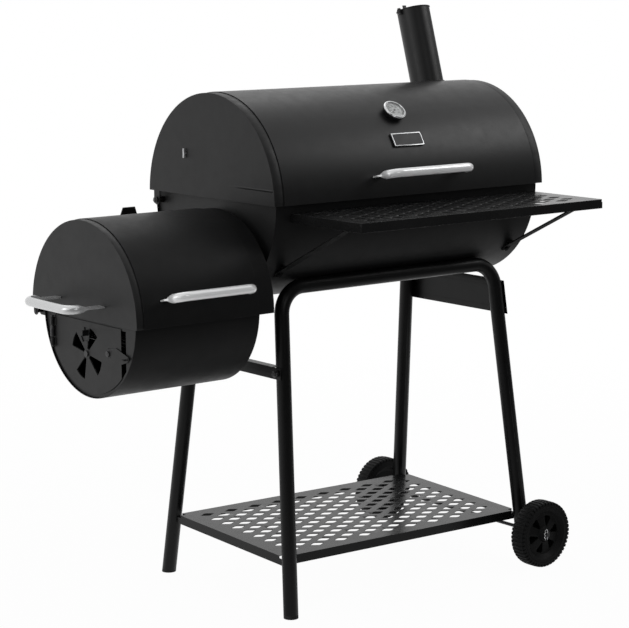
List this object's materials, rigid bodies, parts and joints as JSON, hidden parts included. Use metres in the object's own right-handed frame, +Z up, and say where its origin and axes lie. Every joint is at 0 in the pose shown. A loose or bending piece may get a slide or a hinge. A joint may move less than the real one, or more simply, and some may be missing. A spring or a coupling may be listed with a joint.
{
  "type": "offset smoker",
  "caption": "Horizontal barrel charcoal smoker with side firebox, chimney, front shelf and lower shelf on a wheeled tube stand, with opening lids, door and vents.",
  "frame": {"origin": "on the ground under the middle of the object's outline", "axes": "+X from the firebox end to the wheel end, -Y is the front with the shelf and the lid handle, +Z is up"},
  "size_m": [1.24, 0.753, 1.2829],
  "materials": {
    "barrel_paint": "satin heat-resistant black paint with fine orange peel",
    "stand_paint": "satin black powder coat",
    "shelf_paint": "glossier black powder coat",
    "black_screws": "black oxide screws and rivets",
    "bright_steel": "zinc plated steel",
    "chrome_tube": "bright chrome plating",
    "dial_face": "pale printed dial",
    "needle_paint": "matt black needle",
    "clear_lens": "clear flat glass",
    "badge_metal": "bare plate with a bright border",
    "wire_coating": "porcelain coated wire",
    "pan_enamel": "dark enamel",
    "wheel_plastic": "moulded black plastic",
    "cap_plastic": "moulded black plastic"
  },
  "bodies": {
    "stand": {"barrel_skin": "barrel_paint", "barrel_end_left": "barrel_paint", "barrel_end_right": "barrel_paint", "grate_rails": "barrel_paint", "pan_ledges": "barrel_paint", "front_leg_frame": "stand_paint", "rear_leg_frame": "stand_paint", "leg_end_caps": "cap_plastic", "left_cross_angle": "stand_paint", "right_side_panel": "stand_paint", "lower_shelf": "shelf_paint", "front_shelf": "shelf_paint", "shelf_brace_left": "stand_paint", "shelf_brace_right": "stand_paint", "axle": "bright_steel", "axle_clips": "bright_steel", "stand_bolts": "black_screws", "lid_pivot_bolts": "black_screws", "firebox_skin": "barrel_paint", "firebox_hood": "barrel_paint", "firebox_end_inner": "barrel_paint", "firebox_end_outer": "barrel_paint", "smoke_duct": "barrel_paint", "firebox_rails": "barrel_paint", "firebox_hinge_lugs": "barrel_paint", "door_hinge_pin": "black_screws", "latch_keeper": "barrel_paint"},
    "barrel_lid": {"lid_skin": "barrel_paint", "lid_end_left": "barrel_paint", "lid_end_right": "barrel_paint", "lid_handle": "chrome_tube", "thermometer_case": "chrome_tube", "thermometer_dial": "dial_face", "thermometer_needle": "needle_paint", "thermometer_lens": "clear_lens", "badge_plate": "badge_metal", "chimney_pipe": "barrel_paint", "cap_screw": "bright_steel"},
    "rack": {"warming_rack": "wire_coating"},
    "cap": {"chimney_cap": "barrel_paint"},
    "firebox_lid": {"firebox_lid_skin": "barrel_paint", "firebox_lid_end": "barrel_paint", "firebox_front_handle": "chrome_tube", "firebox_end_handle": "chrome_tube", "lid_stop_bracket": "barrel_paint"},
    "door": {"firebox_door": "barrel_paint", "damper_rivet": "black_screws", "latch_rivet": "bright_steel"},
    "damper": {"door_damper": "barrel_paint"},
    "latch": {"door_latch": "barrel_paint"},
    "grate_left": {"cooking_grate_left": "wire_coating"},
    "grate_right": {"cooking_grate_right": "wire_coating"},
    "pan": {"charcoal_pan": "pan_enamel"},
    "fire_grate": {"firebox_grate": "wire_coating"},
    "front_wheel": {"wheel_front": "wheel_plastic"},
    "rear_wheel": {"wheel_rear": "wheel_plastic"}
  },
  "joints": [
    {"name": "barrel_lid_hinge", "type": "hinge", "parent": "stand", "child": "barrel_lid", "pos_m": [0.19949, 0.27047, 0.863], "axis": [-1, 0, 0], "range_deg": [0, 95]},
    {"name": "rack_hinge", "type": "hinge", "parent": "barrel_lid", "child": "rack", "pos_m": [0.19949, 0.15847, 0.973], "axis": [-1, 0, 0], "range_deg": [-96, 0]},
    {"name": "cap_swivel", "type": "hinge", "parent": "barrel_lid", "child": "cap", "pos_m": [0.45099, 0.18841, 1.27063], "axis": [0, 0.289, 0.9573], "range_deg": [0, 110]},
    {"name": "firebox_lid_hinge", "type": "hinge", "parent": "stand", "child": "firebox_lid", "pos_m": [-0.43251, 0.21947, 0.6565], "axis": [-1, 0, 0], "range_deg": [0, 95]},
    {"name": "door_hinge", "type": "hinge", "parent": "stand", "child": "door", "pos_m": [-0.52001, 0.17447, 0.619], "axis": [0, 0, -1], "range_deg": [0, 110]},
    {"name": "damper_turn", "type": "hinge", "parent": "door", "child": "damper", "pos_m": [-0.51401, 0.04847, 0.5875], "axis": [1, 0, 0], "range_deg": [0, 40]},
    {"name": "latch_swing", "type": "hinge", "parent": "door", "child": "latch", "pos_m": [-0.51751, -0.03353, 0.5985], "axis": [-1, 0, 0], "range_deg": [0, 60]},
    {"name": "grate_left_lift", "type": "slide", "parent": "stand", "child": "grate_left", "axis": [0, 0, 1], "range_m": [0, 0.02]},
    {"name": "grate_right_lift", "type": "slide", "parent": "stand", "child": "grate_right", "axis": [0, 0, 1], "range_m": [0, 0.02]},
    {"name": "pan_lift", "type": "slide", "parent": "stand", "child": "pan", "axis": [0, 0, 1], "range_m": [0, 0.022]},
    {"name": "fire_grate_lift", "type": "slide", "parent": "stand", "child": "fire_grate", "axis": [0, 0, 1], "range_m": [0, 0.015]},
    {"name": "front_wheel_spin", "type": "hinge", "parent": "stand", "child": "front_wheel", "pos_m": [0.54301, -0.20958, 0.077], "axis": [0, 1, 0], "continuous": true},
    {"name": "rear_wheel_spin", "type": "hinge", "parent": "stand", "child": "rear_wheel", "pos_m": [0.54301, 0.35053, 0.077], "axis": [0, 1, 0], "continuous": true}
  ],
  "couplings": [
    {"joint": "rack_hinge", "follows": "barrel_lid_hinge", "ratio": -1}
  ]
}
